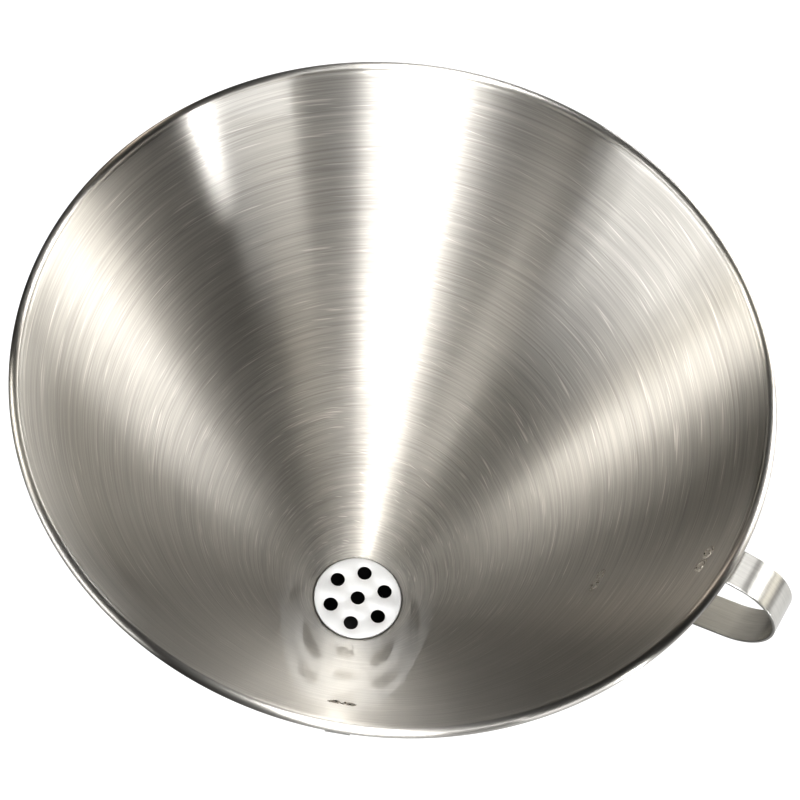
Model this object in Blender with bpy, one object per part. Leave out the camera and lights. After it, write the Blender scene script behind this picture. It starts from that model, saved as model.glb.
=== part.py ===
"""A large kitchen funnel in stainless steel, with a lift-out strainer, a strap handle and a hanging hook.

Units are metres and +Z is up, along the funnel's axis. The origin is on the axis in the plane of
the neck, where the cone ends and the spout begins. The handle is on the +X side.
"""

import math

import bmesh
import bpy
from mathutils import Matrix, Vector

MM = 0.001
GAP = 0.3 * MM  # clearance between pieces that touch on the real object

# Cone: a spun sheet of just under 60 degrees included angle, its rim rolled outwards into a hollow bead.
RIM_RADIUS = 125.0 * MM
BEAD_RADIUS = 1.75 * MM
SHEET = 0.7 * MM
HALF_ANGLE = math.radians(29.85)
NECK_RADIUS = 12.0 * MM  # inside of the cone where the spout begins
CURL_START = math.pi - HALF_ANGLE  # where the bead leaves the wall
CURL_END = math.radians(-140)  # the curl stops short of the wall, so the bead is open below

# Spout: a tapered tube butted to the neck.
SPOUT_LENGTH = 60.0 * MM
SPOUT_SHEET = 0.8 * MM
SPOUT_TIP_RADIUS = 8.2 * MM  # inside
WELD_HALF_HEIGHT = 1.4 * MM
WELD_DEPTH = 0.8 * MM

# Strainer: a flat perforated disc with a short skirt that follows the cone.
STRAINER_SEAT_RADIUS = 18.0 * MM  # inside of the cone at the strainer's top face
STRAINER_SHEET = 0.8 * MM
STRAINER_SKIRT = 5.5 * MM
STRAINER_EDGE = 0.5 * MM  # radius of the bend between disc and skirt
HOLE_RADIUS = 2.78 * MM
HOLE_RING_RADIUS = 11.0 * MM
HOLES_IN_RING = 6
FIRST_HOLE = math.radians(46.0)
HOLE_CUT = 3.0 * MM  # length of each cutter

# Strap handle: one bent strip, both feet spot-welded to the cone. Depths are below the bead's centre.
STRAP_WIDTH = 13.0 * MM
STRAP_THICKNESS = 1.0 * MM
STRAP_REACH = 145.6 * MM  # outer face, from the axis
STRAP_TOP_DEPTH = 5.9 * MM
STRAP_CORNER_DEPTH = 36.0 * MM
STRAP_RETURN_SLOPE = math.radians(16.5)
STRAP_BENDS = (3.0 * MM, 15.8 * MM, 19.0 * MM, 8.0 * MM)
UPPER_FOOT_END = 17.0 * MM  # distances along the wall from the bead's centre plane
UPPER_WELDS = 12.6 * MM
LOWER_WELDS = 72.1 * MM
LOWER_FOOT_END = 80.0 * MM

# Hanging hook: a narrow strip folded back on itself, its mouth facing down along the wall.
HOOK_ANGLE = math.radians(-68.5)
HOOK_WIDTH = 8.0 * MM
HOOK_THICKNESS = 1.0 * MM
HOOK_FOOT_END = 43.0 * MM
HOOK_WELDS = 35.6 * MM
HOOK_FOLD = 25.5 * MM  # the fold's centre, along the wall like the welds
HOOK_FOLD_RADIUS = 3.0 * MM
HOOK_LEG_END = 37.0 * MM
HOOK_LIP = 4.0 * MM
HOOK_LIP_ANGLE = math.radians(25)
HOOK_LIP_BEND = 3.0 * MM

# Spot welds: a pair of low buttons inside the cone behind each foot.
WELD_BUTTON_RADIUS = 2.1 * MM
WELD_BUTTON_TOP_RADIUS = 1.5 * MM
WELD_BUTTON_HEIGHT = 0.4 * MM
UPPER_WELD_SPACING = 5.8 * MM
LOWER_WELD_SPACING = 4.6 * MM

# Facets
CONE_STEPS = 72
SPOUT_STEPS = 36
HOLE_STEPS = 20
BUTTON_STEPS = 16
CURL_STEP = math.radians(24)
BEND_STEP = math.radians(12)

SLOPE = math.tan(HALF_ANGLE)
SHEET_ACROSS = SHEET / math.cos(HALF_ANGLE)  # the sheet measured along a radius
GAP_ACROSS = GAP / math.cos(HALF_ANGLE)
BEAD_CENTRE_RADIUS = RIM_RADIUS - BEAD_RADIUS
WALL_RADIUS_AT_BEAD = BEAD_CENTRE_RADIUS - BEAD_RADIUS / math.cos(HALF_ANGLE)
BEAD_HEIGHT = (WALL_RADIUS_AT_BEAD - NECK_RADIUS) / SLOPE
STRAINER_TOP = (STRAINER_SEAT_RADIUS - NECK_RADIUS) / SLOPE


def clear_scene():
    for item in list(bpy.data.objects):
        bpy.data.objects.remove(item, do_unlink=True)


def steel(name, shade, roughness):
    material = bpy.data.materials.new(name)
    material.use_nodes = True
    shader = material.node_tree.nodes["Principled BSDF"]
    shader.inputs["Base Color"].default_value = (*shade, 1.0)
    shader.inputs["Metallic"].default_value = 1.0
    shader.inputs["Roughness"].default_value = roughness
    return material


def add_object(name, mesh_in_progress, material, sharp_angle=math.radians(35)):
    mesh = bpy.data.meshes.new(name)
    mesh_in_progress.to_mesh(mesh)
    mesh_in_progress.free()
    mesh.shade_smooth()
    mesh.set_sharp_from_angle(angle=sharp_angle)
    mesh.materials.append(material)
    item = bpy.data.objects.new(name, mesh)
    bpy.context.scene.collection.objects.link(item)
    return item


def arc(centre, radius, start, end, step):
    """Points on an arc in the radius-height plane, from one angle to another."""
    count = max(2, math.ceil(abs(end - start) / step))
    angles = [start + (end - start) * i / count for i in range(count + 1)]
    return [
        Vector((centre[0] + radius * math.cos(a), centre[1] + radius * math.sin(a)))
        for a in angles
    ]


def turned(outline, steps, closed=True):
    """A turned solid: the outline, in (radius, height), spun about the Z axis."""
    work = bmesh.new()
    points = [work.verts.new((p[0], 0.0, p[1])) for p in outline]
    pairs = list(zip(points, points[1:]))
    if closed:
        pairs.append((points[-1], points[0]))
    edges = [work.edges.new(pair) for pair in pairs]
    bmesh.ops.spin(
        work, geom=points + edges, angle=math.tau, steps=steps, axis=(0, 0, 1),
        cent=(0, 0, 0), use_merge=True,
    )
    bmesh.ops.remove_doubles(work, verts=work.verts[:], dist=0.001 * MM)
    bmesh.ops.recalc_face_normals(work, faces=work.faces[:])
    return work


def bent_line(corners, radii, step):
    """A line through the corners, with a round bend at each inner one."""
    points = [Vector(corners[0])]
    for before, corner, after, radius in zip(corners, corners[1:], corners[2:], radii):
        corner = Vector(corner)
        back = (Vector(before) - corner).normalized()
        ahead = (Vector(after) - corner).normalized()
        half_turn = (math.pi - back.angle(ahead)) / 2
        tangent = radius * math.tan(half_turn)
        centre = corner + (back + ahead).normalized() * (radius / math.cos(half_turn))
        first = corner + back * tangent - centre
        last = corner + ahead * tangent - centre
        start = math.atan2(first.y, first.x)
        turn = math.remainder(math.atan2(last.y, last.x) - start, math.tau)
        points += arc(centre, radius, start, start + turn, step)
    points.append(Vector(corners[-1]))
    return points


def strip(line, width, thickness):
    """A flat strip bent along a line in the X-Z plane and as wide as asked along Y."""
    count = len(line)
    sides = ([], [])
    for i, point in enumerate(line):
        before = (point - line[i - 1]).normalized() if i else None
        after = (line[i + 1] - point).normalized() if i + 1 < count else None
        along = ((before or after) + (after or before)).normalized()
        stretch = along.dot(after or before)
        across = Vector((-along.y, along.x)) * (thickness / 2 / stretch)
        sides[0].append(point + across)
        sides[1].append(point - across)
    outline = sides[0] + sides[1][::-1]
    work = bmesh.new()
    verts = [work.verts.new((p.x, -width / 2, p.y)) for p in outline]
    for i in range(count - 1):
        work.faces.new((verts[i], verts[i + 1], verts[-i - 2], verts[-i - 1]))
    grown = bmesh.ops.extrude_face_region(work, geom=work.faces[:])
    moved = [v for v in grown["geom"] if isinstance(v, bmesh.types.BMVert)]
    bmesh.ops.translate(work, verts=moved, vec=(0, width, 0))
    bmesh.ops.recalc_face_normals(work, faces=work.faces[:])
    return work


def on_wall(distance, outwards):
    """A point beside the wall: its distance down from the bead's centre, and out from the inner face."""
    return Vector((
        WALL_RADIUS_AT_BEAD - distance * math.sin(HALF_ANGLE) + outwards * math.cos(HALF_ANGLE),
        BEAD_HEIGHT - distance * math.cos(HALF_ANGLE) - outwards * math.sin(HALF_ANGLE),
    ))


def make_cone(material):
    centre = (BEAD_CENTRE_RADIUS, BEAD_HEIGHT)
    outline = [(NECK_RADIUS, GAP / 2)]
    outline += arc(centre, BEAD_RADIUS, CURL_START, CURL_END, CURL_STEP)
    outline += arc(centre, BEAD_RADIUS - SHEET, CURL_END, CURL_START, CURL_STEP)
    outline.append((NECK_RADIUS + SHEET_ACROSS, GAP / 2))
    return add_object("cone_body", turned(outline, CONE_STEPS), material)


def make_spout(material):
    outline = [
        (NECK_RADIUS, -GAP / 2),
        (NECK_RADIUS + SPOUT_SHEET, -GAP / 2),
        (SPOUT_TIP_RADIUS + SPOUT_SHEET, -SPOUT_LENGTH),
        (SPOUT_TIP_RADIUS, -SPOUT_LENGTH),
    ]
    return add_object("spout_tube", turned(outline, SPOUT_STEPS), material)


def make_neck_weld(material):
    """A thin ring of weld round the outside of the joint, with a small gap to both sheets."""
    inner = NECK_RADIUS + SHEET_ACROSS + GAP_ACROSS
    on_cone = Vector((inner + WELD_HALF_HEIGHT * SLOPE, WELD_HALF_HEIGHT))
    on_spout = Vector((inner, -WELD_HALF_HEIGHT))
    height = on_cone - on_spout
    away = Vector((height.y, -height.x)).normalized()
    # The crown rises to its full depth half way up.
    crown = [
        on_spout + height * t + away * (WELD_DEPTH * 4 * t * (1 - t))
        for t in (0.25, 0.5, 0.75)
    ]
    outline = [on_cone, Vector((inner, 0.0)), on_spout, *crown]
    return add_object("neck_weld_bead", turned(outline, SPOUT_STEPS), material)


def make_strainer(material):
    edge = STRAINER_SEAT_RADIUS - GAP_ACROSS
    bottom = STRAINER_TOP - STRAINER_SKIRT
    sheet_across = STRAINER_SHEET / math.cos(HALF_ANGLE)
    corners = [(0.0, STRAINER_TOP), (edge, STRAINER_TOP), (edge - STRAINER_SKIRT * SLOPE, bottom)]
    outline = bent_line(corners, [STRAINER_EDGE], CURL_STEP)
    outline += [
        (edge - STRAINER_SKIRT * SLOPE - sheet_across, bottom),
        (edge - STRAINER_SHEET * SLOPE - sheet_across, STRAINER_TOP - STRAINER_SHEET),
        (0.0, STRAINER_TOP - STRAINER_SHEET),
    ]
    cup = add_object("strainer_cup", turned(outline, CONE_STEPS, closed=False), material)
    places = [(0.0, 0.0)]
    for i in range(HOLES_IN_RING):
        angle = FIRST_HOLE + math.tau * i / HOLES_IN_RING
        places.append((HOLE_RING_RADIUS * math.cos(angle), HOLE_RING_RADIUS * math.sin(angle)))
    work = bmesh.new()
    for x, y in places:
        bmesh.ops.create_cone(
            work, cap_ends=True, segments=HOLE_STEPS, radius1=HOLE_RADIUS, radius2=HOLE_RADIUS,
            depth=HOLE_CUT, matrix=Matrix.Translation((x, y, STRAINER_TOP)),
        )
    cutter = add_object("hole_cutter", work, material)
    cutter.hide_render = True
    cutter.display_type = "WIRE"
    cut = cup.modifiers.new("holes", "BOOLEAN")
    cut.object = cutter
    return cup


def make_handle(material):
    centre_line = SHEET + GAP + STRAP_THICKNESS / 2
    right = STRAP_REACH - STRAP_THICKNESS / 2
    top = BEAD_HEIGHT - STRAP_TOP_DEPTH
    lower_corner = Vector((right, BEAD_HEIGHT - STRAP_CORNER_DEPTH))
    # The top run leaves the foot where the foot's line reaches its height.
    upper_turn = (STRAP_TOP_DEPTH - centre_line * math.sin(HALF_ANGLE)) / math.cos(HALF_ANGLE)
    # The return run meets the lower foot's line where both have the same height.
    fall = math.tan(STRAP_RETURN_SLOPE)
    start = on_wall(0.0, centre_line)
    lower_turn = (start.y - lower_corner.y + (lower_corner.x - start.x) * fall) / (
        math.cos(HALF_ANGLE) - math.sin(HALF_ANGLE) * fall
    )
    corners = [
        on_wall(UPPER_FOOT_END, centre_line),
        on_wall(upper_turn, centre_line),
        Vector((right, top)),
        lower_corner,
        on_wall(lower_turn, centre_line),
        on_wall(LOWER_FOOT_END, centre_line),
    ]
    line = bent_line(corners, STRAP_BENDS, BEND_STEP)
    return add_object("handle_strap", strip(line, STRAP_WIDTH, STRAP_THICKNESS), material)


def make_hook(material):
    inner = SHEET + GAP + HOOK_THICKNESS / 2
    middle = inner + HOOK_FOLD_RADIUS
    fold = arc(
        on_wall(HOOK_FOLD, middle), HOOK_FOLD_RADIUS, math.pi - HALF_ANGLE, -HALF_ANGLE, BEND_STEP,
    )
    leg_end = on_wall(HOOK_LEG_END, middle + HOOK_FOLD_RADIUS)
    down = (leg_end - fold[-1]).normalized()
    lip_end = leg_end + Matrix.Rotation(HOOK_LIP_ANGLE, 2) @ down * HOOK_LIP
    leg = bent_line([fold[-1], leg_end, lip_end], [HOOK_LIP_BEND], BEND_STEP)
    line = [on_wall(HOOK_FOOT_END, inner), *fold, *leg[1:]]
    hook = add_object("hanging_hook", strip(line, HOOK_WIDTH, HOOK_THICKNESS), material)
    hook.rotation_euler.z = HOOK_ANGLE
    return hook


def make_weld_pair(name, azimuth, distance, spacing, material):
    """Two buttons side by side on the cone's inner face, behind a foot."""
    place = on_wall(distance, -GAP - WELD_BUTTON_HEIGHT / 2)
    for number, side in ((1, -1), (2, 1)):
        work = bmesh.new()
        bmesh.ops.create_cone(
            work, cap_ends=True, segments=BUTTON_STEPS, radius1=WELD_BUTTON_RADIUS,
            radius2=WELD_BUTTON_TOP_RADIUS, depth=WELD_BUTTON_HEIGHT,
        )
        button = add_object(f"{name}_{number}", work, material)
        turn = azimuth + side * math.asin(spacing / 2 / place.x)
        button.location = (place.x * math.cos(turn), place.x * math.sin(turn), place.y)
        button.rotation_euler = (0.0, HALF_ANGLE - math.pi / 2, turn)


def main():
    clear_scene()
    cone_steel = steel("brushed_cone_steel", (0.58, 0.57, 0.55), 0.32)
    spout_steel = steel("brushed_spout_steel", (0.60, 0.59, 0.57), 0.30)
    strainer_steel = steel("satin_strainer_steel", (0.80, 0.80, 0.79), 0.38)
    strap_steel = steel("brushed_strap_steel", (0.62, 0.61, 0.58), 0.28)
    weld_steel = steel("weld_steel", (0.50, 0.48, 0.45), 0.40)
    make_cone(cone_steel)
    make_spout(spout_steel)
    make_neck_weld(weld_steel)
    make_strainer(strainer_steel)
    make_handle(strap_steel)
    make_hook(strap_steel)
    make_weld_pair("handle_upper_weld", 0.0, UPPER_WELDS, UPPER_WELD_SPACING, weld_steel)
    make_weld_pair("handle_lower_weld", 0.0, LOWER_WELDS, LOWER_WELD_SPACING, weld_steel)
    make_weld_pair("hook_weld", HOOK_ANGLE, HOOK_WELDS, LOWER_WELD_SPACING, weld_steel)


main()
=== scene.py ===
"""Looks for the strainer funnel: fine steel pieces and a plain bright studio.

Units are metres, +Z up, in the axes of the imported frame: the cone's axis is Z, and the handle is on
the +X side.
Profiles are drawn as Vectors of (radius, height).
"""

import math

import bpy
from mathutils import Matrix, Vector
from mathutils.geometry import delaunay_2d_cdt


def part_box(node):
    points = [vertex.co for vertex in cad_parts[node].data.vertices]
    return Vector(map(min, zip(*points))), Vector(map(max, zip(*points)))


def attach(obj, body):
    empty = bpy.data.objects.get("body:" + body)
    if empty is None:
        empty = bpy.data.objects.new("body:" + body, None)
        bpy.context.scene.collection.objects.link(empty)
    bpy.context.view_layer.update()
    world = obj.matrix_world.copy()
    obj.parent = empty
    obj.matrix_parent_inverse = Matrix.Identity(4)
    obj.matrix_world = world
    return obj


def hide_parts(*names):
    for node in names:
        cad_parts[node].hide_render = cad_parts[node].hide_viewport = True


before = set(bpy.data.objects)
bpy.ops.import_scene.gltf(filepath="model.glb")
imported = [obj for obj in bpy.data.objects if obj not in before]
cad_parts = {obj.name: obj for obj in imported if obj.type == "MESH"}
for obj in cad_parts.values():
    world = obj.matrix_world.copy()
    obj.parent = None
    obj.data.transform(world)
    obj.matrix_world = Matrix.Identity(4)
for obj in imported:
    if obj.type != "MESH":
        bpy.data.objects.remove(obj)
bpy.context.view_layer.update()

MM = 0.001

# Cone and rim
INSIDE = 0.02 * MM  # how far the fine surface stays inside the frame's box
HALF_ANGLE = math.radians(29.85)
SLOPE = math.tan(HALF_ANGLE)
SHEET = 0.7 * MM
BEAD_RADIUS = 1.75 * MM - INSIDE
RIM_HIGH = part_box("cone_body")[1]
BEAD_CENTRE = Vector((RIM_HIGH.x - INSIDE - BEAD_RADIUS, RIM_HIGH.z - INSIDE - BEAD_RADIUS))
BEAD_LEAVES = math.pi - HALF_ANGLE  # where on the bead's circle the wall runs into it
CURL_END = math.radians(-140)  # the curl stops short of the wall
NECK_RADIUS = 12.0 * MM
WALL_RADIUS_AT_BEAD = NECK_RADIUS + BEAD_CENTRE.y * SLOPE
CONE_BOTTOM = 0.15 * MM
UNDER_STRAINER = 4.9 * MM  # the wall below this height is hidden by the strainer and gets painted shade
CREASE_DEPTH = 0.10 * MM  # a shallow groove where the rolling tool ran, just under the bead
CREASE_START = 0.6 * MM
CREASE_TURN = math.radians(8)
CREASE_STEPS = 9
OUTER_WALL_START = 1.0 * MM

# Spout and neck
SPOUT_LOW, SPOUT_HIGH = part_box("spout_tube")
SPOUT_SHEET = 0.8 * MM
SPOUT_TIP_RADIUS = 8.2 * MM
SPOUT_EDGE = 0.2 * MM  # rounding of the tip's edges
WELD_HALF_HEIGHT = 1.4 * MM
WELD_DEPTH = 0.75 * MM
WELD_FULLNESS = 0.8  # below 1 the bead of weld is fuller than a sine
WELD_RIPPLES = 64
WELD_RIPPLE = 0.10 * MM
WELD_RIPPLE_LEAN = 0.35

# Strainer
STRAINER_LOW, STRAINER_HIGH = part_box("strainer_cup")
STRAINER_SHEET = 0.8 * MM
STRAINER_BEND = 0.5 * MM
STRAINER_GAP = 0.3 * MM  # the frame's clearance to the cone
STRAINER_EDGE = NECK_RADIUS + STRAINER_HIGH.z * SLOPE - STRAINER_GAP / math.cos(HALF_ANGLE)
HOLE_RADIUS = 2.78 * MM
HOLE_RING_RADIUS = 11.0 * MM
HOLES_IN_RING = 6
FIRST_HOLE = math.radians(46.0)
HOLE_ROUNDING = 0.12 * MM

# Handle strap and hanging hook; a distance along the wall is measured down from the bead's centre
STRIP_GAP = 0.3 * MM  # the frame's clearance to the wall, which the feet close here
FOOT_GAP = 0.01 * MM  # what is left of it
STRIP_THICKNESS = 1.0 * MM
STRIP_ROUNDING = 0.12 * MM
STRAP_WIDTH = 13.0 * MM
STRAP_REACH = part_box("handle_strap")[1].x
STRAP_TOP_DEPTH = 5.9 * MM
STRAP_CORNER_DEPTH = 36.0 * MM
STRAP_RETURN_SLOPE = math.radians(16.5)
STRAP_BENDS = (3.0 * MM, 15.8 * MM, 19.0 * MM, 8.0 * MM)
STRAP_END_ROUNDING = 2.0 * MM
UPPER_FOOT_END = 17.0 * MM
UPPER_WELDS = 12.6 * MM
LOWER_WELDS = 72.1 * MM
LOWER_FOOT_END = 80.0 * MM
UPPER_FOOT_LEAVES = 2 * MM  # length over which a strip lifts off the wall
LOWER_FOOT_LEAVES = 6 * MM
HOOK_FOOT_LEAVES = 4 * MM
HOOK_ANGLE = math.radians(-68.5)
HOOK_WIDTH = 8.0 * MM
HOOK_FOOT_END = 43.0 * MM
HOOK_WELDS = 35.6 * MM
HOOK_FOLD = 25.5 * MM
HOOK_FOLD_RADIUS = 3.0 * MM
HOOK_LEG_END = 37.0 * MM
HOOK_LIP = 4.0 * MM
HOOK_LIP_ANGLE = math.radians(25)
HOOK_LIP_BEND = 3.0 * MM
HOOK_END_ROUNDING = 3.0 * MM

# Spot welds: a hollow in the strip outside, and a raised ring on the wall inside
WELD_RADIUS = 2.1 * MM
UPPER_WELD_SPACING = 5.8 * MM
LOWER_WELD_SPACING = 4.6 * MM
DENT_REACH = 1.3  # this and the next two in weld radii
DENT_RING = 0.95
DENT_RING_WIDTH = 0.16
DENT_RING_HEIGHT = 0.05 * MM
DENT_DEPTH = 0.12 * MM
MARK_REACH = 1.35 * WELD_RADIUS
MARK_RING = 0.82  # this and the next four in weld radii
MARK_RING_WIDTH = 0.11
MARK_RING_WAVE = 0.05
MARK_HOLLOW = 0.8
MARK_FADE = 0.25
MARK_UNEVEN = 0.25
MARK_LIFT = 0.015 * MM
MARK_CLEAR = 0.002 * MM
MARK_BACK = 0.3 * MM  # depth of the mark's back, inside the sheet
# name, azimuth, distance along the wall, spacing, height of the ring, depth of the hollow
WELD_PAIRS = (
    ("handle_upper_weld", 0.0, UPPER_WELDS, UPPER_WELD_SPACING, 0.30 * MM, 0.08 * MM),
    ("handle_lower_weld", 0.0, LOWER_WELDS, LOWER_WELD_SPACING, 0.08 * MM, 0.02 * MM),
    ("hook_weld", HOOK_ANGLE, HOOK_WELDS, LOWER_WELD_SPACING, 0.42 * MM, 0.05 * MM),
)

# Fineness of the meshes
SHARP_EDGE = math.radians(40)
CONE_STEPS = 360
SPOUT_STEPS = 160
RIPPLE_STEPS = 12
STRAINER_STEPS = 240
HOLE_STEPS = 48
INNER_BEAD_STEPS = 56
OUTER_BEAD_STEPS = 40
EDGE_STEPS = 5
WELD_CROWN_STEPS = 14
FOLD_STEPS = 28
ACROSS_STEPS = 44
MARK_RINGS, MARK_STEPS = 26, 56
CONE_STEP = 2.5 * MM
SPOUT_STEP = 2.0 * MM
BEND_STEP = 0.25 * MM
SKIRT_STEP = 0.5 * MM
STRAP_STEP = 0.5 * MM
HOOK_STEP = 0.4 * MM
ROUNDED = tuple(math.radians(angle) for angle in (30, 60, 90))
ROUNDED_FROM_FLAT = tuple(math.radians(angle) for angle in (0, 30, 60))

# Materials: the part of a noise's 0 to 1 that its values mostly use
FINE_RANGE = (0.25, 0.75)
LONG_RANGE = (0.3, 0.7)
WIDE_RANGE = (0.2, 0.8)
SCRATCH_RANGE = (0.72, 0.84)  # only a noise's peaks become scratches
TURNED_RANGE = (0.5, 0.72)
NEAR_STRAINER = (22 * MM, 42 * MM)  # radii between which the rings round the strainer fade out
# Round brushing: how many times a noise changes round the axis, and its spacing along the surface
FINE_GRAIN = (2.4, 0.65 * MM)
LONG_GRAIN = (0.9, 1.2 * MM)
CLOUDS = (1.6, 30 * MM)
LATHE_RINGS = (0.8, 0.9 * MM)
SCRATCH_SPACING = 0.8 * MM
SCRATCHES = ((4.0, 0.0, 0.7), (5.0, 14 * MM, 1.0))  # turns, lean, strength
GRAIN_ROUGH = 0.6  # how much the finer detail of the grain counts
CONE_CLIMB = 0.6  # how much a step outwards counts next to a step upwards
CLOUD_SHADE = (0.97, 1.03)
FINE_ROUGHNESS = 0.008
CLOUD_ROUGHNESS = 0.006
COAT_ROUGHNESS = 0.06
FINE_IN_BUMP, LONG_IN_BUMP = 0.4, 0.6
ROUND_BUMP = 0.0008 * MM
# Brushing along a strip: length and width of the grain, the noise's layer and its detail
STRIP_FINE = (6 * MM, 0.3 * MM, 0.0, 3.0)
STRIP_LONG = (14 * MM, 0.8 * MM, 3.0, 1.0)
STRIP_ROUGHNESS = 0.02
STRIP_BUMP = 0.005 * MM
SPOT_SHADE = (0.85, 1.15)
SPOT_DETAIL = 3.0
SPOT_ROUGHNESS = 0.08
SPOT_BUMP = 0.02 * MM
ALONG_TANGENT = 0.25  # an anisotropic rotation that draws highlights out across the brushing

# Camera
CAMERA_AZIMUTH = math.radians(20.6)
CAMERA_ELEVATION = math.radians(60.90)
CAMERA_ROLL = math.radians(10.40)
CAMERA_DISTANCE = 758.2 * MM
CAMERA_ASIDE = 0.79 * MM
CAMERA_RISE = -8.44 * MM
CAMERA_LENS = 104.96
SENSOR_WIDTH = 36.0
CLIP_START = 10 * MM

# Studio
FUNNEL_MIDDLE = Vector((0.0, 0.0, 0.1))
LIGHT_DISTANCE = 1.4
LIGHT_LEVEL = 13.3  # watts per square metre of softbox at strength 1
WORLD_LEVEL = 0.03
TABLE_GLOW = 0.9
TABLE_DIM = 0.04
TABLE_SIDE = math.radians(20)
TABLE_LIT = (-0.4, 0.5)  # from the dim side to the lit side, as cosines
HORIZON = (-0.10, 0.02)  # heights, as sines, between which the table ends
FLOOR_REACH = 6.0
FLOOR_SHADE = (0.85, 0.85, 0.85, 1.0)
FLOOR_GAP = 0.3 * MM
WARM_WHITE = (1.0, 0.97, 0.90)
CREAM = (1.0, 0.96, 0.86)
AMBER = (1.0, 0.88, 0.76)
WHITE = (1.0, 1.0, 1.0)
# name, azimuth, elevation, width and height in degrees, strength, colour
SOFTBOXES = (
    ("front_key", 293, 38, 13, 18, 3.5, WHITE),
    ("front_fill", 306.5, 38, 11, 18, 3.4, WHITE),
    ("front_up", 290, 54, 16, 12, 3.1, WHITE),
    ("front_high", 322, 56, 20, 14, 1.0, WHITE),
    ("left_high", 190, 38, 16, 18, 2.1, WARM_WHITE),
    ("left", 225, 20, 26, 16, 1.45, WHITE),
    ("left_wide", 225, 20, 40, 22, 0.75, WHITE),
    ("left_low", 244, 5, 15, 12, 0.36, WHITE),
    ("right_strip", 354.5, 7, 5, 14, 8.5, WHITE),
    ("right", 342, 15, 22, 26, 0.85, WHITE),
    ("back_right_high", 50, 38, 18, 18, 3.0, WHITE),
    ("back_right", 56, 20, 56, 18, 0.6, CREAM),
    ("back_low", 76, 5, 38, 12, 1.9, WHITE),
    ("overhead", 112, 84, 6, 16, 6.4, WHITE),
    ("over_front", 291, 84, 6, 12, 10.5, WHITE),
    ("back_left", 142, 27, 6, 30, 0.6, AMBER),
)


# ------------------------------------------------------------------ geometry


def on_wall(distance, outwards):
    """A place beside the wall: distance down from the bead's centre, and outwards from inside."""
    return Vector((
        WALL_RADIUS_AT_BEAD - distance * math.sin(HALF_ANGLE) + outwards * math.cos(HALF_ANGLE),
        BEAD_CENTRE.y - distance * math.cos(HALF_ANGLE) - outwards * math.sin(HALF_ANGLE),
    ))


OUT_OF_WALL = Vector((math.cos(HALF_ANGLE), -math.sin(HALF_ANGLE)))


def arc(centre, radius, start, end, count):
    angles = [start + (end - start) * i / count for i in range(count + 1)]
    return [
        Vector((centre[0] + radius * math.cos(a), centre[1] + radius * math.sin(a)))
        for a in angles
    ]


def loop_of(centre, radius, count):
    """The points of a whole circle."""
    return arc(centre, radius, 0.0, math.tau, count)[:-1]


def run(start, end, step):
    """Evenly spaced points from start up to, but not including, end."""
    start, end = Vector(start), Vector(end)
    count = max(1, math.ceil((end - start).length / step))
    return [start.lerp(end, i / count) for i in range(count)]


def bent_line(corners, radii, step):
    """Points about a step apart on a line through the corners, with a round bend at inner ones."""
    points = []
    place = Vector(corners[0])
    for before, corner, after, radius in zip(corners, corners[1:], corners[2:], radii):
        corner = Vector(corner)
        back = (Vector(before) - corner).normalized()
        ahead = (Vector(after) - corner).normalized()
        half_turn = (math.pi - back.angle(ahead)) / 2
        tangent = radius * math.tan(half_turn)
        centre = corner + (back + ahead).normalized() * (radius / math.cos(half_turn))
        first = corner + back * tangent - centre
        last = corner + ahead * tangent - centre
        start = math.atan2(first.y, first.x)
        turn = math.remainder(math.atan2(last.y, last.x) - start, math.tau)
        points += run(place, centre + first, step)
        count = max(6, math.ceil(radius * abs(turn) / step))
        bend = arc(centre, radius, start, start + turn, count)
        points += bend[:-1]
        place = bend[-1]
    points += run(place, corners[-1], step)
    points.append(Vector(corners[-1]))
    return points


def lengths_along(line):
    """The distance from the line's start to each of its points."""
    lengths = [0.0]
    for a, b in zip(line, line[1:]):
        lengths.append(lengths[-1] + (b - a).length)
    return lengths


def turned(outline, steps, shape=None):
    """Points and faces of a closed outline spun about the Z axis.

    shape, where given, returns the (radius, height) of outline point i at an angle.
    """
    verts, faces = [], []
    count = len(outline)
    for s in range(steps):
        angle = math.tau * s / steps
        for i, point in enumerate(outline):
            r, z = shape(i, point, angle) if shape else point
            verts.append((r * math.cos(angle), r * math.sin(angle), z))
    for s in range(steps):
        t = (s + 1) % steps
        for i in range(count):
            j = (i + 1) % count
            faces.append((s * count + i, t * count + i, t * count + j, s * count + j))
    return verts, faces


def first_bands(outline, steps, bands):
    """The numbers of the faces that turned makes from the first bands of an outline."""
    return [s * len(outline) + i for s in range(steps) for i in range(bands)]


def add_piece(name, verts, faces, material, slot, body, *nodes, inside=None):
    """One visible mesh. inside, where given, is a second material and the faces that have it."""
    mesh = bpy.data.meshes.new(name)
    mesh.from_pydata([tuple(v) for v in verts], [], [tuple(f) for f in faces])
    mesh.shade_smooth()
    mesh.set_sharp_from_angle(angle=SHARP_EDGE)
    mesh.materials.append(material)
    if inside:
        mesh.materials.append(inside[0])
        for face in inside[1]:
            mesh.polygons[face].material_index = 1
    item = bpy.data.objects.new(name, mesh)
    bpy.context.scene.collection.objects.link(item)
    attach(item, body)
    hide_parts(*nodes)
    return item


# ----------------------------------------------------------------- materials


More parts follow.
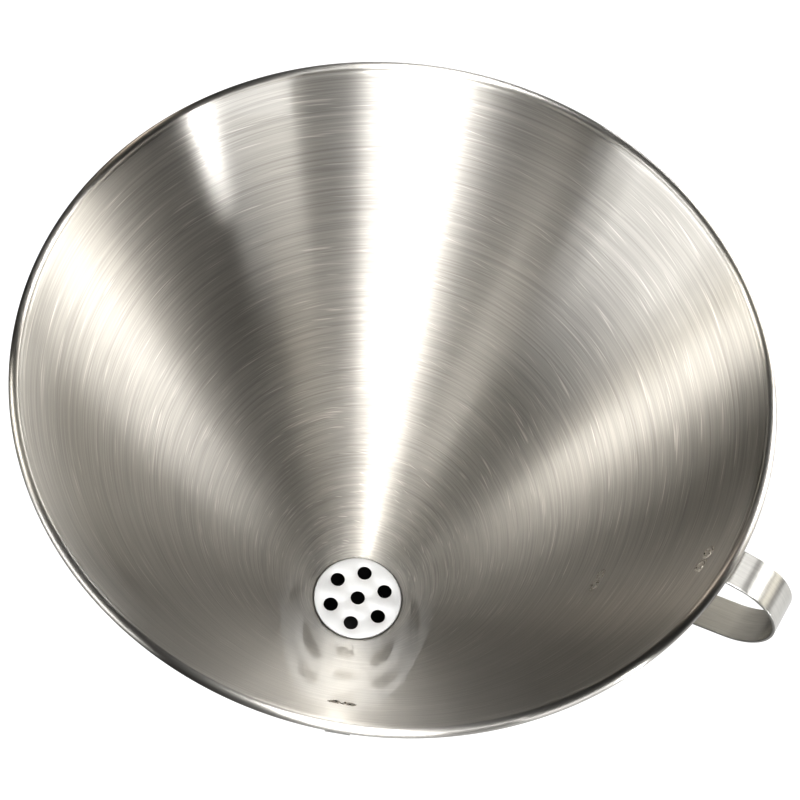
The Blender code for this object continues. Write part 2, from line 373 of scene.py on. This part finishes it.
class Nodes:
    """A material's node tree with short calls for the few kinds of node used here."""

    def __init__(self, name):
        self.material = bpy.data.materials.new(name)
        self.material.use_nodes = True
        self.tree = self.material.node_tree
        self.inputs = self.tree.nodes["Principled BSDF"].inputs
        self.inputs["Metallic"].default_value = 1.0

    def link(self, value, socket):
        if isinstance(value, bpy.types.NodeSocket):
            self.tree.links.new(value, socket)
        else:
            socket.default_value = value

    def node(self, kind, *values, operation=None):
        """A node with its inputs, in order, set to values or linked to sockets."""
        made = self.tree.nodes.new(kind)
        if operation:
            made.operation = operation
        for value, socket in zip(values, made.inputs):
            self.link(value, socket)
        return made

    def math(self, operation, *values):
        return self.node("ShaderNodeMath", *values, operation=operation).outputs[0]

    def vector(self, x, y, z):
        return self.node("ShaderNodeCombineXYZ", x, y, z).outputs[0]

    def cross(self, a, b):
        return self.node("ShaderNodeVectorMath", a, b, operation="CROSS_PRODUCT").outputs[0]

    def position(self):
        return self.node("ShaderNodeTexCoord").outputs["Object"]

    def uv(self):
        made = self.node("ShaderNodeUVMap")
        made.uv_map = "strip"
        return made.outputs["UV"]

    def split(self, vector):
        return self.node("ShaderNodeSeparateXYZ", vector).outputs

    def noise(self, vector, detail=2.0, rough=0.5):
        made = self.tree.nodes.new("ShaderNodeTexNoise")
        made.inputs["Scale"].default_value = 1.0
        made.inputs["Detail"].default_value = detail
        made.inputs["Roughness"].default_value = rough
        self.link(vector, made.inputs["Vector"])
        return made.outputs["Fac"]

    def spread(self, value, low, high, to_low, to_high):
        """Maps a value from one range to another, held at its ends."""
        return self.node("ShaderNodeMapRange", value, low, high, to_low, to_high).outputs[0]

    def tint(self, shade, factor):
        """A colour times a factor that changes over the surface."""
        made = self.node("ShaderNodeVectorMath", shade, operation="SCALE")
        self.link(factor, made.inputs["Scale"])
        return made.outputs[0]

    def bump(self, height, distance):
        made = self.tree.nodes.new("ShaderNodeBump")
        made.inputs["Strength"].default_value = 1.0
        made.inputs["Distance"].default_value = distance
        self.link(height, made.inputs["Height"])
        self.link(made.outputs["Normal"], self.inputs["Normal"])


def round_brushed(name, shade, roughness, anisotropic, grain=0.05, scratches=0.0,
                  bottom_rings=0.0, coat=0.0, edge=1.0):
    """Steel brushed round the Z axis: fine grain, longer bands, and here and there a scratch.

    bottom_rings adds lathe marks near the bottom, coat a thin clear sheen, and edge below 1 keeps
    the steel from turning white at grazing angles.
    """
    n = Nodes(name)
    place = n.position()
    x, y, z = n.split(place)
    square = n.math("ADD", n.math("MULTIPLY", x, x), n.math("MULTIPLY", y, y))
    radius = n.math("SQRT", square)
    round_x = n.math("DIVIDE", x, radius)
    round_y = n.math("DIVIDE", y, radius)
    along = n.math("ADD", n.math("MULTIPLY", radius, CONE_CLIMB), z)

    def rings(turns, spacing, lean=0.0):
        """Coordinates that change slowly round the axis and quickly along the surface.

        With a lean the rings become shallow waves, so that the marks cross the grain slightly.
        """
        climb = n.math("ADD", along, n.math("MULTIPLY", round_x, lean)) if lean else along
        return n.vector(
            n.math("MULTIPLY", round_x, turns),
            n.math("MULTIPLY", round_y, turns),
            n.math("DIVIDE", climb, spacing),
        )

    fine = n.noise(rings(*FINE_GRAIN), detail=1.0, rough=GRAIN_ROUGH)
    long = n.noise(rings(*LONG_GRAIN), detail=2.0, rough=GRAIN_ROUGH)
    cloud = n.noise(rings(*CLOUDS))
    light = n.math("ADD", n.spread(fine, *FINE_RANGE, -grain, grain),
                   n.spread(long, *LONG_RANGE, -grain, grain))
    light = n.math("ADD", light, n.spread(cloud, *LONG_RANGE, *CLOUD_SHADE))
    if scratches:
        for turns, lean, most in SCRATCHES:
            marks = n.noise(rings(turns, SCRATCH_SPACING, lean), detail=0.0)
            light = n.math("ADD", light, n.spread(marks, *SCRATCH_RANGE, 0.0, scratches * most))
    if bottom_rings:
        low = n.spread(radius, *NEAR_STRAINER, bottom_rings, 0.0)
        turned_rings = n.noise(rings(*LATHE_RINGS), detail=1.0)
        turned_rings = n.spread(turned_rings, *TURNED_RANGE, 0.0, 1.0)
        light = n.math("ADD", light, n.math("MULTIPLY", low, turned_rings))
    n.link(n.tint(shade, light), n.inputs["Base Color"])
    rough = n.math("ADD", n.spread(fine, *WIDE_RANGE, -FINE_ROUGHNESS, FINE_ROUGHNESS),
                   n.spread(cloud, *LONG_RANGE, -CLOUD_ROUGHNESS, CLOUD_ROUGHNESS))
    n.link(n.math("ADD", rough, roughness), n.inputs["Roughness"])
    n.link(anisotropic, n.inputs["Anisotropic"])
    n.link(ALONG_TANGENT, n.inputs["Anisotropic Rotation"])
    n.link((edge, edge, edge, 1), n.inputs["Specular Tint"])
    n.link(coat, n.inputs["Coat Weight"])
    n.link(COAT_ROUGHNESS, n.inputs["Coat Roughness"])
    n.link(n.cross((0.0, 0.0, 1.0), place), n.inputs["Tangent"])
    n.bump(n.math("ADD", n.math("MULTIPLY", fine, FINE_IN_BUMP),
                  n.math("MULTIPLY", long, LONG_IN_BUMP)), ROUND_BUMP)
    return n.material


def strip_brushed(name, shade, roughness, anisotropic, grain=0.06):
    """Steel strip brushed along its length, which is the U direction of its UV map, in metres."""
    n = Nodes(name)
    u, v, _ = n.split(n.uv())

    def grain_noise(length, width, layer, detail):
        place = n.vector(n.math("DIVIDE", u, length), n.math("DIVIDE", v, width), layer)
        return n.noise(place, detail=detail)

    fine = grain_noise(*STRIP_FINE)
    long = grain_noise(*STRIP_LONG)
    grained = n.math("ADD", n.spread(fine, *FINE_RANGE, -grain, grain),
                     n.spread(long, *LONG_RANGE, -grain, grain))
    n.link(n.tint(shade, n.math("ADD", grained, 1.0)), n.inputs["Base Color"])
    rough = n.spread(fine, *WIDE_RANGE, -STRIP_ROUGHNESS, STRIP_ROUGHNESS)
    n.link(n.math("ADD", rough, roughness), n.inputs["Roughness"])
    n.link(anisotropic, n.inputs["Anisotropic"])
    n.link(ALONG_TANGENT, n.inputs["Anisotropic Rotation"])
    tangent = n.node("ShaderNodeTangent")
    tangent.direction_type = "UV_MAP"
    tangent.uv_map = "strip"
    n.link(tangent.outputs["Tangent"], n.inputs["Tangent"])
    n.bump(n.math("ADD", fine, long), STRIP_BUMP)
    return n.material


def spotted_metal(name, shade, roughness):
    """Plain metal with millimetre spots, for welds and for the painted shade on faces in shadow."""
    n = Nodes(name)
    in_mm = [n.math("DIVIDE", part, MM) for part in n.split(n.position())]
    spots = n.noise(n.vector(*in_mm), SPOT_DETAIL)
    n.link(n.tint(shade, n.spread(spots, *LONG_RANGE, *SPOT_SHADE)), n.inputs["Base Color"])
    smoothest, roughest = roughness - SPOT_ROUGHNESS, roughness + SPOT_ROUGHNESS
    n.link(n.spread(spots, *LONG_RANGE, smoothest, roughest), n.inputs["Roughness"])
    n.bump(spots, SPOT_BUMP)
    return n.material


# -------------------------------------------------------------------- pieces


def make_cone(material, painted_shade):
    """The spun sheet: a straight wall, a shallow crease and the open rolled bead."""
    inner_bead = arc(BEAD_CENTRE, BEAD_RADIUS, BEAD_LEAVES - CREASE_TURN, CURL_END,
                     INNER_BEAD_STEPS)
    wall_end = on_wall(CREASE_START, 0)
    bottom = Vector((NECK_RADIUS, CONE_BOTTOM))
    part_way = (UNDER_STRAINER - bottom.y) / (wall_end.y - bottom.y)
    under_strainer = bottom.lerp(wall_end, part_way)
    outline = run(bottom, under_strainer, CONE_STEP)
    shaded_bands = len(outline)
    outline += run(under_strainer, wall_end, CONE_STEP)
    for i in range(CREASE_STEPS):
        t = i / CREASE_STEPS
        dip = CREASE_DEPTH * math.sin(math.pi * t) ** 2
        outline.append(wall_end.lerp(inner_bead[0], t) + OUT_OF_WALL * dip)
    outline += inner_bead
    outline += arc(BEAD_CENTRE, BEAD_RADIUS - SHEET, CURL_END, BEAD_LEAVES, OUTER_BEAD_STEPS)
    outer_bottom = Vector((NECK_RADIUS + SHEET / math.cos(HALF_ANGLE), CONE_BOTTOM))
    outline += run(on_wall(OUTER_WALL_START, SHEET), outer_bottom, CONE_STEP)
    outline.append(outer_bottom)
    verts, faces = turned(outline, CONE_STEPS)
    # The wall below the strainer gets painted shade: near-black steel standing in for its shadow.
    hidden = first_bands(outline, CONE_STEPS, shaded_bands)
    add_piece("cone_shell", verts, faces, material, "cone_steel", "funnel", "cone_body",
              inside=(painted_shade, hidden))


def make_spout(material, painted_shade):
    edge = SPOUT_EDGE
    top, bottom = SPOUT_HIGH.z, SPOUT_LOW.z
    inner, outer = SPOUT_TIP_RADIUS, SPOUT_TIP_RADIUS + SPOUT_SHEET
    outer_top = Vector((NECK_RADIUS + SPOUT_SHEET, top))
    outline = run((NECK_RADIUS, top), (inner + edge * 0.2, bottom + edge), SPOUT_STEP)
    bore = len(outline)
    lowest = math.radians(270)
    outline += arc((inner + edge, bottom + edge), edge, math.pi, lowest, EDGE_STEPS)
    outline += arc((outer - edge, bottom + edge), edge, lowest, math.tau, EDGE_STEPS)
    outline += run((outer, bottom + 2 * edge), outer_top, SPOUT_STEP)
    outline.append(outer_top)
    verts, faces = turned(outline, SPOUT_STEPS)
    # The bore gets painted shade: near-black steel standing in for the shadow inside the spout.
    hidden = first_bands(outline, SPOUT_STEPS, bore)
    add_piece("spout_tapered_tube", verts, faces, material, "spout_steel", "funnel", "spout_tube",
              inside=(painted_shade, hidden))


def make_neck_weld(material):
    """A ring of weld whose crown is rippled by the overlapping beads it was laid in."""
    inner = NECK_RADIUS + SPOUT_SHEET + INSIDE
    on_cone = Vector((inner + WELD_HALF_HEIGHT * SLOPE, WELD_HALF_HEIGHT))
    on_spout = Vector((inner, -WELD_HALF_HEIGHT))
    height = on_cone - on_spout
    away = Vector((height.y, -height.x)).normalized()
    outline = [on_cone, Vector((inner, 0.0)), on_spout]
    bulges = [0.0] * len(outline)
    for i in range(1, WELD_CROWN_STEPS):
        t = i / WELD_CROWN_STEPS
        bulge = math.sin(math.pi * t) ** WELD_FULLNESS
        outline.append(on_spout + height * t + away * (WELD_DEPTH * bulge))
        bulges.append(bulge)

    def rippled(i, point, angle):
        lean = WELD_RIPPLE_LEAN * math.sin(math.pi * bulges[i])
        wave = abs(math.sin(WELD_RIPPLES * angle / 2 + lean))
        return point + away * (WELD_RIPPLE * bulges[i] * (wave - 1.0))

    verts, faces = turned(outline, WELD_RIPPLES * RIPPLE_STEPS, rippled)
    add_piece("neck_weld_ring", verts, faces, material, "weld_steel", "funnel", "neck_weld_bead")


def make_strainer(material, painted_shade):
    """The perforated cup: a flat disc with seven punched holes and a skirt along the cone."""
    top = STRAINER_HIGH.z - INSIDE
    bottom = STRAINER_LOW.z + INSIDE
    under = top - STRAINER_SHEET
    across = STRAINER_SHEET / math.cos(HALF_ANGLE)
    skirt_end = STRAINER_EDGE - (top - bottom) * SLOPE
    outer = bent_line([(0.0, top), (STRAINER_EDGE, top), (skirt_end, bottom)],
                      [STRAINER_BEND], BEND_STEP)
    bent = next(i for i, p in enumerate(outer) if p.y < top - 0.001 * MM)
    inner_radius = STRAINER_EDGE - STRAINER_SHEET * SLOPE - across
    profile = outer[bent - 1:]
    profile += run((skirt_end - across, bottom), (inner_radius, under), SKIRT_STEP)
    profile.append(Vector((inner_radius, under)))
    centres = [Vector((0.0, 0.0))]
    for i in range(HOLES_IN_RING):
        angle = FIRST_HOLE + math.tau * i / HOLES_IN_RING
        centres.append(Vector((HOLE_RING_RADIUS * math.cos(angle),
                               HOLE_RING_RADIUS * math.sin(angle))))

    # hidden collects the faces that get painted shade, near-black steel standing in for the shadow on
    # the skirt's inside, the holes' lower walls and the underside.
    verts, faces, hidden = [], [], []

    def ring(points, z):
        first = len(verts)
        verts.extend((p[0], p[1], z) for p in points)
        return list(range(first, len(verts)))

    def join(a, b):
        """A band of faces from ring a to ring b."""
        for i in range(len(a)):
            j = (i + 1) % len(a)
            faces.append((a[i], a[j], b[j], b[i]))

    def plate(outside, holes, hole_radius, upward):
        """A flat face with holes in it, triangulated in millimetres."""
        indices = outside + [i for hole in holes for i in hole]
        points = [Vector(verts[i][:2]) / MM for i in indices]
        edges = []
        start = 0
        for loop in [outside, *holes]:
            count = len(loop)
            edges += [(start + i, start + (i + 1) % count) for i in range(count)]
            start += count
        chord = hole_radius / MM * math.cos(math.pi / HOLE_STEPS)
        placed, _, triangles, came_from, _, _ = delaunay_2d_cdt(points, edges, [], 0, 1e-6)
        for triangle in triangles:
            a, b, c = (placed[i] for i in triangle)
            middle = (a + b + c) / 3
            if any((middle - centre / MM).length < chord for centre in centres):
                continue
            corners = [indices[came_from[i][0]] for i in triangle]
            if ((b - a).cross(c - a) > 0) != upward:
                corners.reverse()
            faces.append(corners)

    rings = [ring(loop_of((0, 0), p.x, STRAINER_STEPS), p.y) for p in profile]
    shown = sum(1 for p in profile if p.x > inner_radius + across / 2)
    for number, (a, b) in enumerate(zip(rings, rings[1:])):
        if number >= shown:
            hidden += range(len(faces), len(faces) + STRAINER_STEPS)
        join(b, a)
    bands = [(HOLE_RADIUS + HOLE_ROUNDING, top)]
    bands += [
        (HOLE_RADIUS + HOLE_ROUNDING * (1 - math.sin(a)), top - HOLE_ROUNDING * (1 - math.cos(a)))
        for a in ROUNDED
    ]
    bands.append((HOLE_RADIUS, under))
    top_holes, under_holes = [], []
    for centre in centres:
        loops = [ring(loop_of(centre, r, HOLE_STEPS), z) for r, z in bands]
        for a, b in zip(loops, loops[1:]):
            if b is loops[-1]:
                hidden += range(len(faces), len(faces) + HOLE_STEPS)
            join(a, b)
        top_holes.append(loops[0])
        under_holes.append(loops[-1])
    plate(rings[0], top_holes, HOLE_RADIUS + HOLE_ROUNDING, True)
    hidden_from = len(faces)
    plate(rings[-1], under_holes, HOLE_RADIUS, False)
    hidden += range(hidden_from, len(faces))
    add_piece("strainer_perforated_cup", verts, faces, material, "strainer_steel", "strainer",
              "strainer_cup", inside=(painted_shade, hidden))


def strip_section(width):
    """The outline of a strip's cross-section, as (sideways, outwards), with rounded corners."""
    r = STRIP_ROUNDING
    half, thick = width / 2, STRIP_THICKNESS / 2
    flat = [(-half + r) + (width - 2 * r) * i / ACROSS_STEPS for i in range(ACROSS_STEPS + 1)]
    return (
        [(y, thick) for y in flat]
        + [(half - r + r * math.sin(a), thick - r + r * math.cos(a)) for a in ROUNDED]
        + [(half - r + r * math.cos(a), -thick + r - r * math.sin(a)) for a in ROUNDED_FROM_FLAT]
        + [(y, -thick) for y in reversed(flat)]
        + [(-half + r - r * math.sin(a), -thick + r - r * math.cos(a)) for a in ROUNDED]
        + [(-half + r - r * math.cos(a), thick - r + r * math.sin(a)) for a in ROUNDED_FROM_FLAT]
    )


def dent_at(away):
    """How high a strip's face is at a distance from a spot weld, in weld radii."""
    ring = math.exp(-((away - DENT_RING) / DENT_RING_WIDTH) ** 2)
    return DENT_RING_HEIGHT * ring - DENT_DEPTH * max(0.0, 1 - away ** 2)


def strip_piece(name, line, width, dents, end_rounding, turn, material, node, feet):
    """A strip swept along a line in the X-Z plane, with rounded edges and corners.

    feet says for each point of the line how much it hugs the cone there, from 0 to 1. dents are
    the (distance along the line, sideways) of each spot weld's hollow in the strip's inner face.
    """
    half = width / 2
    inner_face = -STRIP_THICKNESS / 2 * 0.9
    lengths = lengths_along(line)
    section = strip_section(width)
    verts, uvs = [], []
    for i, point in enumerate(line):
        before = (point - line[i - 1]) if i else (line[1] - point)
        after = (line[i + 1] - point) if i + 1 < len(line) else before
        along = (before.normalized() + after.normalized()).normalized()
        out = Vector((-along.y, along.x))
        s = lengths[i]
        from_end = min(s, lengths[-1] - s)
        narrow = 0.0
        if from_end < end_rounding:
            deep = end_rounding - from_end
            narrow = end_rounding - math.sqrt(end_rounding ** 2 - deep ** 2)
        for y, t in section:
            side = y * (1 - narrow / half)
            lift = t
            for place, sideways in dents:
                away = math.hypot(s - place, side - sideways) / WELD_RADIUS
                if t < inner_face and away < DENT_REACH:
                    lift -= dent_at(away)
            round_wall = side ** 2 / (2 * point.x) * math.cos(HALF_ANGLE)
            hug = feet[i] * (STRIP_GAP - FOOT_GAP + round_wall)
            p = point + out * lift - OUT_OF_WALL * hug
            verts.append((p.x * math.cos(turn) - side * math.sin(turn),
                          p.x * math.sin(turn) + side * math.cos(turn), p.y))
            uvs.append((s, y))
    count = len(section)
    faces = []
    for i in range(len(line) - 1):
        for j in range(count):
            k = (j + 1) % count
            faces.append((i * count + j, (i + 1) * count + j, (i + 1) * count + k, i * count + k))
    last = (len(line) - 1) * count
    faces.append(list(range(count)))
    faces.append(list(reversed(range(last, last + count))))
    item = add_piece(name, verts, faces, material, "strap_steel", "funnel", node)
    layer = item.data.uv_layers.new(name="strip")
    for loop in item.data.loops:
        layer.data[loop.index].uv = uvs[loop.vertex_index]


def held(value):
    return min(1.0, max(0.0, value))


def make_handle(material):
    centre_line = SHEET + STRIP_GAP + STRIP_THICKNESS / 2
    right = STRAP_REACH - INSIDE - STRIP_THICKNESS / 2
    lower_corner = Vector((right, BEAD_CENTRE.y - STRAP_CORNER_DEPTH))
    # The distances along the wall at which the strap's straight runs meet its feet
    upper_turn = (STRAP_TOP_DEPTH - centre_line * math.sin(HALF_ANGLE)) / math.cos(HALF_ANGLE)
    fall = math.tan(STRAP_RETURN_SLOPE)
    start = on_wall(0.0, centre_line)
    lower_turn = (start.y - lower_corner.y + (lower_corner.x - start.x) * fall) / (
        math.cos(HALF_ANGLE) - math.sin(HALF_ANGLE) * fall
    )
    corners = [
        on_wall(UPPER_FOOT_END, centre_line),
        on_wall(upper_turn, centre_line),
        Vector((right, BEAD_CENTRE.y - STRAP_TOP_DEPTH)),
        lower_corner,
        on_wall(lower_turn, centre_line),
        on_wall(LOWER_FOOT_END, centre_line),
    ]
    line = bent_line(corners, STRAP_BENDS, STRAP_STEP)
    lengths = lengths_along(line)
    upper_foot = UPPER_FOOT_END - upper_turn
    lower_foot = lengths[-1] - (LOWER_FOOT_END - lower_turn)
    feet = [
        held(max((upper_foot - s) / UPPER_FOOT_LEAVES, (s - lower_foot) / LOWER_FOOT_LEAVES))
        for s in lengths
    ]
    upper = UPPER_FOOT_END - UPPER_WELDS
    lower = lengths[-1] - (LOWER_FOOT_END - LOWER_WELDS)
    dents = [
        (place, side * spacing / 2)
        for place, spacing in ((upper, UPPER_WELD_SPACING), (lower, LOWER_WELD_SPACING))
        for side in (-1, 1)
    ]
    strip_piece("handle_strap_bent", line, STRAP_WIDTH, dents, STRAP_END_ROUNDING, 0.0, material,
                "handle_strap", feet)


def make_hook(material):
    inner = SHEET + STRIP_GAP + STRIP_THICKNESS / 2
    middle = inner + HOOK_FOLD_RADIUS
    fold = arc(on_wall(HOOK_FOLD, middle), HOOK_FOLD_RADIUS, math.pi - HALF_ANGLE, -HALF_ANGLE,
               FOLD_STEPS)
    leg_end = on_wall(HOOK_LEG_END, middle + HOOK_FOLD_RADIUS)
    down = (leg_end - fold[-1]).normalized()
    lip_end = leg_end + Matrix.Rotation(HOOK_LIP_ANGLE, 2) @ down * HOOK_LIP
    leg = bent_line([fold[-1], leg_end, lip_end], [HOOK_LIP_BEND], HOOK_STEP)
    line = run(on_wall(HOOK_FOOT_END, inner), fold[0], HOOK_STEP) + fold + leg[1:]
    foot_length = HOOK_FOOT_END - HOOK_FOLD
    feet = [held((foot_length - s) / HOOK_FOOT_LEAVES) for s in lengths_along(line)]
    welds = HOOK_FOOT_END - HOOK_WELDS
    dents = [(welds, side * LOWER_WELD_SPACING / 2) for side in (-1, 1)]
    strip_piece("hanging_hook_folded", line, HOOK_WIDTH, dents, HOOK_END_ROUNDING, HOOK_ANGLE,
                material, "hanging_hook", feet)


def make_weld_mark(name, node, azimuth, distance, sideways, ridge, hollow, material):
    """The mark of a spot weld on the cone's inner face: a low ring with a hollow inside it."""
    turn = azimuth + math.asin(sideways / on_wall(distance, 0).x)
    verts, faces = [], []

    def add_point(across, down, outwards):
        p = on_wall(distance + down, outwards)
        a = turn + across / p.x
        verts.append((p.x * math.cos(a), p.x * math.sin(a), p.y))

    def add_front(rho, angle):
        away = rho / WELD_RADIUS
        middle = MARK_RING + MARK_RING_WAVE * math.sin(3 * angle + azimuth)
        ring = math.exp(-((away - middle) / MARK_RING_WIDTH) ** 2)
        uneven = math.sin(angle * 2 + 1 + sideways / MM)
        rise = ridge * ring * (1 - MARK_UNEVEN + MARK_UNEVEN * uneven)
        rise -= hollow * max(0.0, 1 - (away / MARK_HOLLOW) ** 2)
        fade = held((MARK_REACH - rho) / (MARK_FADE * WELD_RADIUS))
        height = (MARK_LIFT + hollow + rise) * fade * fade * (3 - 2 * fade) + MARK_CLEAR
        add_point(rho * math.cos(angle), rho * math.sin(angle), -height)

    add_front(0.0, 0.0)
    for i in range(1, MARK_RINGS + 1):
        for j in range(MARK_STEPS):
            add_front(MARK_REACH * i / MARK_RINGS, math.tau * j / MARK_STEPS)
    # The back lies in the sheet, so that the mark is a closed solid.
    back = len(verts)
    add_point(0.0, 0.0, MARK_BACK)
    for j in range(MARK_STEPS):
        angle = math.tau * j / MARK_STEPS
        add_point(MARK_REACH * math.cos(angle), MARK_REACH * math.sin(angle), MARK_BACK)
    rim = 1 + (MARK_RINGS - 1) * MARK_STEPS
    for j in range(MARK_STEPS):
        k = (j + 1) % MARK_STEPS
        faces.append((0, 1 + k, 1 + j))
        for a in range(1, rim, MARK_STEPS):
            b = a + MARK_STEPS
            faces.append((a + j, a + k, b + k, b + j))
    for j in range(MARK_STEPS):
        k = (j + 1) % MARK_STEPS
        faces.append((rim + j, rim + k, back + 1 + k, back + 1 + j))
        faces.append((back, back + 1 + j, back + 1 + k))
    add_piece(name, verts, faces, material, "weld_steel", "funnel", node)


def make_weld_marks(material):
    for name, azimuth, distance, spacing, ridge, hollow in WELD_PAIRS:
        for number, side in ((1, -1), (2, 1)):
            make_weld_mark(f"{name}_mark_{number}", f"{name}_{number}", azimuth, distance,
                           side * spacing / 2, ridge, hollow, material)


# --------------------------------------------------------------------- studio


def make_camera():
    back = Vector((
        math.sin(CAMERA_AZIMUTH) * math.cos(CAMERA_ELEVATION),
        -math.cos(CAMERA_AZIMUTH) * math.cos(CAMERA_ELEVATION),
        math.sin(CAMERA_ELEVATION),
    ))
    level = Vector((math.cos(CAMERA_AZIMUTH), math.sin(CAMERA_AZIMUTH), 0.0))
    right = level * math.cos(CAMERA_ROLL) + back.cross(level) * math.sin(CAMERA_ROLL)
    up = back.cross(right)
    rim = Vector((0.0, 0.0, BEAD_CENTRE.y))
    place = rim + back * CAMERA_DISTANCE + right * CAMERA_ASIDE + up * CAMERA_RISE
    camera = bpy.data.objects.new("camera", bpy.data.cameras.new("camera"))
    bpy.context.scene.collection.objects.link(camera)
    turned_to = Matrix((right, up, back)).transposed().to_4x4()
    camera.matrix_world = Matrix.Translation(place) @ turned_to
    camera.data.lens = CAMERA_LENS
    camera.data.sensor_width = SENSOR_WIDTH
    camera.data.clip_start = CLIP_START
    bpy.context.scene.camera = camera


def make_floor():
    """A white floor that only the camera sees: it gives the steel no light and takes no shadow."""
    material = bpy.data.materials.new("white_floor")
    material.use_nodes = True
    tree = material.node_tree
    tree.nodes.clear()
    seen = tree.nodes.new("ShaderNodeLightPath")
    glow = tree.nodes.new("ShaderNodeEmission")
    matt = tree.nodes.new("ShaderNodeBsdfDiffuse")
    matt.inputs["Color"].default_value = FLOOR_SHADE
    mix = tree.nodes.new("ShaderNodeMixShader")
    out = tree.nodes.new("ShaderNodeOutputMaterial")
    tree.links.new(seen.outputs["Is Camera Ray"], mix.inputs["Fac"])
    tree.links.new(matt.outputs["BSDF"], mix.inputs[1])
    tree.links.new(glow.outputs["Emission"], mix.inputs[2])
    tree.links.new(mix.outputs["Shader"], out.inputs["Surface"])
    mesh = bpy.data.meshes.new("floor")
    reach, z = FLOOR_REACH, SPOUT_LOW.z - FLOOR_GAP
    corners = [(-reach, -reach, z), (reach, -reach, z), (reach, reach, z), (-reach, reach, z)]
    mesh.from_pydata(corners, [], [(0, 1, 2, 3)])
    mesh.materials.append(material)
    floor = bpy.data.objects.new("floor", mesh)
    bpy.context.scene.collection.objects.link(floor)
    floor.visible_diffuse = floor.visible_glossy = floor.visible_shadow = False


def make_world():
    """White to the eye. For the steel it is dim above and glows below, as a table would."""
    world = bpy.data.worlds.new("studio")
    bpy.context.scene.world = world
    world.use_nodes = True
    tree = world.node_tree

    def spread(value, low, high, to_low, to_high):
        made = tree.nodes.new("ShaderNodeMapRange")
        for socket, number in zip(made.inputs, (value, low, high, to_low, to_high)):
            if isinstance(number, bpy.types.NodeSocket):
                tree.links.new(number, socket)
            else:
                socket.default_value = number
        return made.outputs[0]

    away = tree.nodes.new("ShaderNodeTexCoord")
    parts = tree.nodes.new("ShaderNodeSeparateXYZ")
    tree.links.new(away.outputs["Generated"], parts.inputs[0])
    lit = tree.nodes.new("ShaderNodeVectorMath")
    lit.operation = "DOT_PRODUCT"
    tree.links.new(away.outputs["Generated"], lit.inputs[0])
    lit.inputs[1].default_value = (math.cos(TABLE_SIDE), math.sin(TABLE_SIDE), 0.0)
    table = spread(lit.outputs["Value"], *TABLE_LIT, TABLE_DIM, TABLE_GLOW)
    below = spread(parts.outputs["Z"], *HORIZON, table, WORLD_LEVEL)
    seen = tree.nodes.new("ShaderNodeLightPath")
    shade = spread(seen.outputs["Is Camera Ray"], 0.0, 1.0, below, 1.0)
    background = tree.nodes["Background"]
    tree.links.new(shade, background.inputs["Strength"])
    background.inputs["Color"].default_value = (1, 1, 1, 1)


def softbox(name, azimuth, elevation, wide, high, strength, colour):
    """A rectangular light facing the funnel, placed and sized by angles in degrees seen from there.

    Strength is the light's brightness, so a bigger softbox gives more light.
    """
    a, e = math.radians(azimuth), math.radians(elevation)
    away = Vector((math.cos(a) * math.cos(e), math.sin(a) * math.cos(e), math.sin(e)))
    light = bpy.data.lights.new(name, "AREA")
    light.shape = "RECTANGLE"
    light.size = 2 * LIGHT_DISTANCE * math.tan(math.radians(wide) / 2)
    light.size_y = 2 * LIGHT_DISTANCE * math.tan(math.radians(high) / 2)
    light.energy = LIGHT_LEVEL * strength * light.size * light.size_y
    light.color = colour
    lamp = bpy.data.objects.new(name, light)
    bpy.context.scene.collection.objects.link(lamp)
    lamp.location = FUNNEL_MIDDLE + away * LIGHT_DISTANCE
    lamp.rotation_euler = away.to_track_quat("Z", "Y").to_euler()
    lamp.visible_camera = False


make_camera()
# Painted shade: near-black steel standing in for the shadow on the spout's bore, the wall under the
# strainer, and the strainer's underside, skirt inside and hole walls.
painted_shade_steel = spotted_metal("painted_shade_dark_steel", (0.05, 0.05, 0.05), 0.6)
cone_steel = round_brushed("cone_brushed_steel", (0.42, 0.405, 0.379), 0.292, 1.0, grain=0.11,
                           scratches=0.5, bottom_rings=0.2, coat=0.6, edge=0.45)
spout_steel = round_brushed("spout_brushed_steel", (0.45, 0.443, 0.428), 0.30, 0.8)
strainer_steel = round_brushed("strainer_satin_steel", (0.66, 0.66, 0.656), 0.55, 0.0, grain=0.012)
strap_steel = strip_brushed("strap_brushed_steel", (0.55, 0.54, 0.51), 0.30, 0.7)
make_cone(cone_steel, painted_shade_steel)
make_spout(spout_steel, painted_shade_steel)
make_neck_weld(spotted_metal("neck_weld_metal", (0.39, 0.375, 0.353), 0.38))
make_strainer(strainer_steel, painted_shade_steel)
make_handle(strap_steel)
make_hook(strap_steel)
make_weld_marks(spotted_metal("weld_mark_steel", (0.375, 0.353, 0.323), 0.30))
make_floor()
make_world()
for box in SOFTBOXES:
    softbox(*box)
bpy.context.scene.view_settings.view_transform = "Standard"
bpy.context.scene.view_settings.look = "Medium High Contrast"
